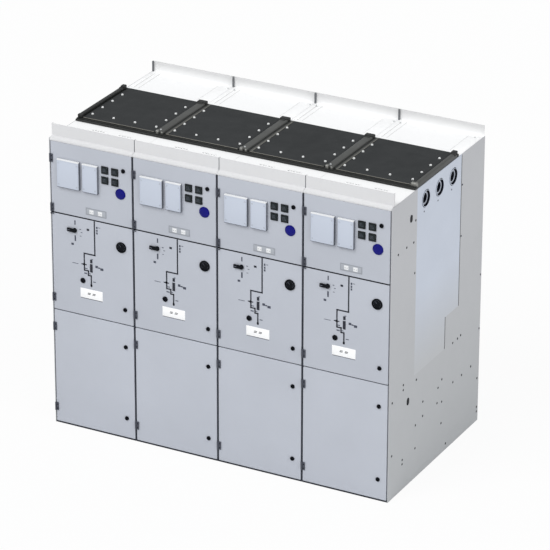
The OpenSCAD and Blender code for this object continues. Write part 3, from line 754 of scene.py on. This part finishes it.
def make_roof_marks():
    """Slotted vents in the front roof, raised strips and studs on the rear roof."""
    p = Piece("roof_details", "root", "roof_white", ROOF_WHITE)
    for n in PANELS:
        p.move(joint_x(n), FRONT, ROOF)
        for x in (221, 415):
            p.block((x - 52, x + 52), (214, 250), (0, 1.5), 0.7)
            for i in range(5):
                p.add(VENT_SLOT, (x + 19 * (i - 2), 232 + 3 * (i % 2), 1.5), UP, SEAM)
        p.block((69, 71), REAR_MARKS, (0, 1.2), 0, SEAM_LIGHT)
    rear0, rear1 = REAR_MARKS
    for n in JOINTS:
        p.move(joint_x(n), FRONT, ROOF)
        first, last = n == JOINTS[0], n == JOINTS[-1]
        gap = 2 if first or last else 1
        strips = ([] if first else [(-90, -gap, -90)]) + ([] if last else [(gap, 36, 36)])
        for x0, x1, edge in strips:
            p.block((x0, x1), REAR_MARKS, (0, 1.6), 0.6)
            p.block((edge - 0.9, edge + 0.9), (rear0, rear1 - 20), (0, 1.9), 0, SEAM_LIGHT)
        for x in () if first else (-40,) if last else (-8, 38):
            p.add(SMALL_BOLT, (x, rear1 - 30, 1.6), UP, ZINC)
    p.done()


# ---------------------------------------------------------------- seals round the doors, and painted shade in the gaps between them

DOORS_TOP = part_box("lv_door_1")[1].z / MM
GAP_STRIP_BACK = 30            # depth of the rear faces of the kick strip and the dark gap strips


def make_head_seals():
    """Pale seals between the top doors and the cornice, and the cornice's dark joints."""
    p = Piece("door_head_seals", "root", "cornice_white", CORNICE)
    for n in PANELS:
        p.move(joint_x(n), FRONT, 0)
        p.block((2, PANEL - 2), (1, 20), (DOORS_TOP + 1.6, DOORS_TOP + 7), 0.6)
    for n in JOINTS[1:-1]:
        p.move(joint_x(n), FRONT, ROOF)
        p.block((-2, 2), (29.4, 33), (5, 87.5), 0, SEAM_DARK)
    p.done()


def make_plinth():
    """A dark kick strip under the doors, and dark strips in the gaps between them: painted shade of
    the gaps.
    """
    p = Piece("plinth_strips", "root", "frame_grey", FRAME_DARK)
    for n in PANELS:
        p.move(joint_x(n), FRONT, 0)
        # Dark strips behind the gaps between the doors: painted shade of the gaps.
        for lower, upper, depth, look in (("mech", "lv", 0.4, BLACK),
                                          ("cable", "mech", 8, FRAME_DARK)):
            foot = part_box(f"{lower}_door_{n}")[1].z / MM
            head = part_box(f"{upper}_door_{n}")[0].z / MM
            p.block((9, 589), (depth, GAP_STRIP_BACK), (foot + 0.6, head - 0.6), 0, look)
        p.block((1, PANEL - 1), (3, GAP_STRIP_BACK), (0, 9), 1)
    for n in JOINTS[1:-1]:
        p.move(joint_x(n), FRONT, 0)
        left = (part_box(f"lv_door_{n - 1}")[1].x - joint_x(n)) / MM
        # Dark strips behind the gaps between the panels: painted shade of the gaps.
        p.block((left + 2, DOOR_INSET - 2), (3, GAP_STRIP_BACK), (9, DOORS_TOP), 0, FRAME_DARK)
    p.done()


# ---------------------------------------------------------------- end walls

# Small holes, bolts and slots of the end walls, each (depth behind the door faces, height).
WALL_HOLES = [(198, 732), (198, 698), (44, 674), (384, 690), (759, 532), (705, 495), (485, 494),
              (486, 393), (695, 391), (764, 372), (926, 440), (1056, 435), (1193, 438), (910, 724),
              (980, 725), (1026, 730), (382, 373), (761, 220), (835, 43), (383, 211), (49, 305),
              (200, 211), (200, 181), (1295, 311), (1301, 101), (1301, 68), (331, 1794),
              (308, 1655), (211, 1658), (94, 1655), (330, 1441)]
SEAM_BOLTS = [(994, 1783), (994, 1433), (1306, 1044), (1306, 663)]
WALL_SLOTS = [(268, 1828), (267, 589)]
PLATE_STEP = 955                     # height of the step in the tank plate's rear edge
SOCKET_DEPTHS = (470, 665, 860)
SOCKET_HEIGHT = ROOF / MM - 106
SOCKET_LENGTH = 100


def make_end_details(side, name):
    """Hole rims, seam bolts, slot plugs, plate seams and rivets on one end wall; side is 1 on the
    right and -1 on the left. The seams' dark strips are painted shade of the gaps between plates."""
    turn = TO_RIGHT if side > 0 else TO_LEFT
    p = Piece(name, "root", "side_grey", SOFT_BLACK)
    p.move(SIDE * side, FRONT, 0)
    for shape, look, places in ((WALL_HOLE, BLACK, WALL_HOLES), (SEAM_BOLT, HINGE, SEAM_BOLTS),
                                (SLOT_PLUG, SOFT_BLACK, WALL_SLOTS)):
        for depth, height in places:
            p.add(shape, (0, depth, height), turn, look)
    thick = sorted((-3 * side, 0.7 * side))
    plate_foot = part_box("tank_side_plates")[0].z / MM
    # Dark strips on the plate joints: real joints, their darkness painted shade of the gaps.
    for depth, z in ((980, (PLATE_STEP, ROOF / MM - 6)), (786, (plate_foot, PLATE_STEP))):
        p.block(thick, (depth - 2.5, depth + 5.5), z, 0.3, SEAM)
    for depth in SOCKET_DEPTHS:
        p.add(RIVET, (0, depth - 22, SOCKET_HEIGHT - 80), turn, HINGE)
    p.done()


def make_sockets():
    """The busbar sockets: an outer collar, a deep groove, a sunk inner ring and a bore; the groove,
    the bore and its centre are dark with painted shade.
    """
    p = Piece("busbar_socket_rings", "root", "socket_resin", SOCKET, replaces=["busbar_sockets"])
    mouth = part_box("busbar_sockets")[1].x

    def rings(*points):
        return turned(*[(r, SOCKET_LENGTH - drop) for r, drop in points], steps=64)

    parts = ((rings((53.5, 100), (53.5, 1), (52.8, 0), (51, 0), (50.4, 1)), TANK_PLATE),
             # Groove, bore and centre are dark: painted shade.
             (rings((50.4, 1), (50.4, 26), (42, 26), (42, 13)), SOCKET_DARK),
             (rings((42, 13), (41, 12), (34, 12), (32, 14)), SOCKET),
             (rings((32, 14), (32, 56), (16, 60), (16, 34)), SOCKET_DARK),
             (rings((16, 34), (15, 33), (9, 33), (8, 34), (8, 44), (0, 44)), SOCKET_SHADE))
    for side, turn in ((1, TO_RIGHT), (-1, TO_LEFT)):
        p.move(side * (mouth - SOCKET_LENGTH * MM), FRONT, 0)
        for depth in SOCKET_DEPTHS:
            for shape, look in parts:
                p.add(shape, (0, depth, SOCKET_HEIGHT), turn, look)
    p.done()


# ---------------------------------------------------------------- back and inside

DRIVE_DEPTH = 220         # fronts of the drives behind the door faces
PLATE_DEPTH = 320         # fronts of the mounting plates behind the door faces
PLATE_X = (40, 560)

# Rows of devices on a mounting plate from its foot up: places for modules, width of one, half
# height, depth, the modules' colours in turn and the colour of the small mark on each.
DEVICE_ROWS = [(75, 6, 25, 44, (STRIP_LIGHT, RELAY_EDGE, STRIP_LIGHT), WHITE),
               (21, 18, 40, 55, (WHITE, WHITE, RELAY), BLACK),
               (7, 45, 38, 55, (INSTRUMENT, STRIP, INSTRUMENT), BLACK)]


def make_rear_wall():
    """The rear sheets: a sunk field, a raised border and a row of screws down both sides."""
    p = Piece("rear_wall_sheets", "root", "side_grey", SIDE_SHEET, replaces=["rear_wall"])
    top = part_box("rear_wall")[1].z / MM
    rim = 24
    x0, x1 = 1, PANEL - 1
    for n in PANELS:
        p.move(joint_x(n), BACK, 0)
        p.block((x0, x1), (-3, -1.5), (0, top))
        for x, z in border(x0, x1, 0, top, rim):
            p.block(x, (-2, 0), z, 0.8)
        for x in (x0 + rim + 16, x1 - rim - 16):
            for i in range(8):
                p.add(FLAT_SCREW, (x, -1.5, 90 + 260 * i), TO_BACK, ZINC)
    p.done()


def make_drives():
    """The switch drives behind the middle doors: housing, lid, two drums and a key shaft."""
    p = Piece("drive_housings", "root", "drive_grey", DRIVE, replaces=["drive_units"])
    low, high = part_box("drive_units")
    deep, tall = (high.y - FRONT) / MM - DRIVE_DEPTH, (high.z - low.z) / MM
    x0, x1 = 160, 440
    for n in PANELS:
        p.move(joint_x(n), FRONT + DRIVE_DEPTH * MM, low.z)
        p.block((x0, x1), (0, deep), (0, tall), 4)
        p.block((x0 + 14, x1 - 14), (-3, 1), (14, tall - 14), 2, STRIP_LIGHT)
        for x in (x0 + 26, x1 - 26):
            for z in (26, tall - 26):
                p.add(SMALL_BOLT, (x, -3, z), TO_FRONT, ZINC)
        for x in (x0 + 84, x1 - 84):
            p.add(DRUM, (x, 0, 260), TO_FRONT, STEEL)
            p.add(DRUM_HUB, (x, 0, 260), TO_FRONT, FRAME_DARK)
        p.add(KEY_SHAFT, (KEY_X, 0, 106), TO_FRONT, ZINC)
        for i in range(5):
            z = 40 + 9 * i
            p.block((x1 - 120, x1 - 50), (-4, -2.6), (z, z + 4), 0.5, SEAM)
    p.done()


def add_device_row(p, row, x0, x1, z):
    """A rail with modules side by side; every seventh place is free."""
    count, width, half, deep, looks, mark = row
    p.block((x0, x1), (-7, 0), (z - 17, z + 17), 1, STEEL)
    for k in range(count):
        x = x0 + 4 + k * width
        if k % 7 != 6:
            p.block((x, x + width * 0.94), (-deep, -6), (z - half, z + half), 0.8, looks[k % 3], 1)
            p.block((x + width * 0.3, x + width * 0.64), (-deep - 2, 1 - deep), (z - 5, z + 5), 0.5,
                    mark, 1)


def add_duct(p, x0, x1, z):
    """A slotted wiring duct."""
    p.block((x0, x1), (-40, 0), (z - 12, z + 12), 1, STRIP_LIGHT, 1)
    for j in range(31):
        x = x0 + 8 + 16 * j
        p.block((x, x + 3), (-40.6, -39), (z - 9, z + 9), 0, SEAM)


def make_mounting_plates():
    """Plates behind the low-voltage doors with ducts, terminals, breakers and relays."""
    p = Piece("lv_device_plates", "root", "mount_zinc", ZINC, replaces=["lv_mounting_plates"])
    low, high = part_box("lv_mounting_plates")
    deep, tall = (high.y - FRONT) / MM - PLATE_DEPTH, (high.z - low.z) / MM
    x0, x1 = PLATE_X
    for n in PANELS:
        p.move(joint_x(n), FRONT + PLATE_DEPTH * MM, low.z)
        p.block(PLATE_X, (0, 3), (0, tall), 0.6)
        for x in (x0, x1 - 20):
            p.block((x, x + 20), (3, deep), (0, tall), 1)
        for i, row in enumerate(DEVICE_ROWS):
            z = i * tall / len(DEVICE_ROWS)
            add_device_row(p, row, x0 + 30, x1 - 30 - 60 * i, z + 70)
            if i:
                add_duct(p, x0 + 6, x1 - 6, z + 2)
    p.done()


# ---------------------------------------------------------------- the object

for kind in ("lv", "mech", "cable"):
    for n in PANELS:
        make_door(kind, n)
for n in PANELS:
    make_lv_fittings(n)
    make_mech_fittings(n)
    make_cable_fittings(n)
make_roof_bolts()
make_ridges()
make_roof_edges()
make_roof_marks()
make_head_seals()
make_plinth()
make_end_details(1, "right_wall_details")
make_end_details(-1, "left_wall_details")
make_sockets()
make_rear_wall()
make_drives()
make_mounting_plates()

CAD_LOOKS = {"base_frame": FRAME_DARK, "end_walls": SIDE_SHEET, "tank_side_plates": TANK_PLATE,
             "partitions": INNER_SHEET, "shelves": INNER_SHEET, "compartment_backs": INNER_SHEET,
             "front_frame": FRAME_DARK, "frame_hinges": HINGE, "front_roof": ROOF_WHITE,
             "front_upstand": CORNICE, "rear_roof": ROOF_WHITE, "rear_upstand": REAR_UPSTAND_PAINTED_SHADE,
             "rear_posts": REAR_POST_PAINTED_SHADE, "tank_covers": COVER, "tank_rails": RAIL, "gas_tanks": STEEL,
             "bushings": RESIN}
for node, look in CAD_LOOKS.items():
    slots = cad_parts[node].data.materials
    slots.clear()
    slots.append(look)


# ---------------------------------------------------------------- stage, light and camera

def make_floor():
    """A pale floor that shows near white to the camera and keeps the object's soft shadow."""
    mesh = bpy.data.meshes.new("studio_floor")
    reach = 60.0
    mesh.from_pydata([(-reach, -reach, 0), (reach, -reach, 0), (reach, reach, 0),
                      (-reach, reach, 0)], [], [(0, 1, 2, 3)])
    floor = bpy.data.objects.new("studio_floor", mesh)
    bpy.context.scene.collection.objects.link(floor)
    m = Nodes("studio_floor")
    m.shader.inputs["Base Color"].default_value = (0.82, 0.82, 0.82, 1)
    m.shader.inputs["Roughness"].default_value = 0.9
    m.shader.inputs["Specular IOR Level"].default_value = 0.1
    glow = m.new("ShaderNodeEmission")
    glow.inputs["Strength"].default_value = 1.0
    path = m.new("ShaderNodeLightPath")
    share = m.new("ShaderNodeMath", operation="MULTIPLY")
    share.inputs[1].default_value = 0.93
    m.link(path.outputs["Is Camera Ray"], share.inputs[0])
    blend = m.new("ShaderNodeMixShader")
    m.link(share.outputs[0], blend.inputs[0])
    m.link(m.shader.outputs[0], blend.inputs[1])
    m.link(glow.outputs[0], blend.inputs[2])
    m.link(blend.outputs[0], m.output.inputs[0])
    mesh.materials.append(m.material)


def make_world(ambient):
    """Pale light from all sides, and plain white where the camera sees past the floor."""
    world = bpy.data.worlds.new("studio")
    bpy.context.scene.world = world
    world.use_nodes = True
    tree = world.node_tree
    tree.nodes.clear()
    output = tree.nodes.new("ShaderNodeOutputWorld")
    path = tree.nodes.new("ShaderNodeLightPath")
    seen = tree.nodes.new("ShaderNodeMath")
    seen.operation = "MAXIMUM"
    tree.links.new(path.outputs["Is Camera Ray"], seen.inputs[0])
    tree.links.new(path.outputs["Is Transmission Ray"], seen.inputs[1])
    light, white = (tree.nodes.new("ShaderNodeBackground") for _ in range(2))
    light.inputs[0].default_value = (0.97, 0.985, 1.0, 1)
    light.inputs[1].default_value = ambient
    white.inputs[0].default_value = (1, 1, 1, 1)
    white.inputs[1].default_value = 1.0
    blend = tree.nodes.new("ShaderNodeMixShader")
    tree.links.new(seen.outputs[0], blend.inputs[0])
    tree.links.new(light.outputs[0], blend.inputs[1])
    tree.links.new(white.outputs[0], blend.inputs[2])
    tree.links.new(blend.outputs[0], output.inputs[0])


def make_sun(name, towards, strength, spread):
    """A soft sun lamp that shines towards a direction; spread is its angle in degrees."""
    lamp = bpy.data.lights.new(name, "SUN")
    lamp.energy = strength
    lamp.angle = math.radians(spread)
    sun = bpy.data.objects.new(name, lamp)
    sun.rotation_euler = Vector(towards).to_track_quat("-Z", "Y").to_euler()
    bpy.context.scene.collection.objects.link(sun)


AZIMUTH, ELEVATION, ROLL = 27.876, 24.325, 0.138     # degrees
DISTANCE = 23.488
TARGET = Vector((0.0896, -0.050, 1.0825))
LENS, SENSOR = 241.42, 36.0


def make_camera():
    """The camera, fitted to the photo's corners."""
    data = bpy.data.cameras.new("camera")
    data.sensor_width, data.lens = SENSOR, LENS
    data.clip_end = 200.0
    camera = bpy.data.objects.new("camera", data)
    az, el = math.radians(AZIMUTH), math.radians(ELEVATION)
    away = Vector((math.sin(az) * math.cos(el), -math.cos(az) * math.cos(el), math.sin(el)))
    camera.location = TARGET + away * DISTANCE
    aim = (-away).to_track_quat("-Z", "Y").to_matrix().to_4x4()
    turn = Matrix.Rotation(math.radians(ROLL), 4, "Z")
    camera.rotation_euler = (aim @ turn).to_euler()
    bpy.context.scene.collection.objects.link(camera)
    bpy.context.scene.camera = camera


make_floor()
make_world(ambient=0.62)
make_sun("key", towards=(0.35, 0.75, -1.0), strength=1.25, spread=30)
make_sun("side_fill", towards=(-1.0, 0.35, -0.45), strength=0.7, spread=40)
make_camera()
bpy.context.scene.view_settings.view_transform = "Standard"
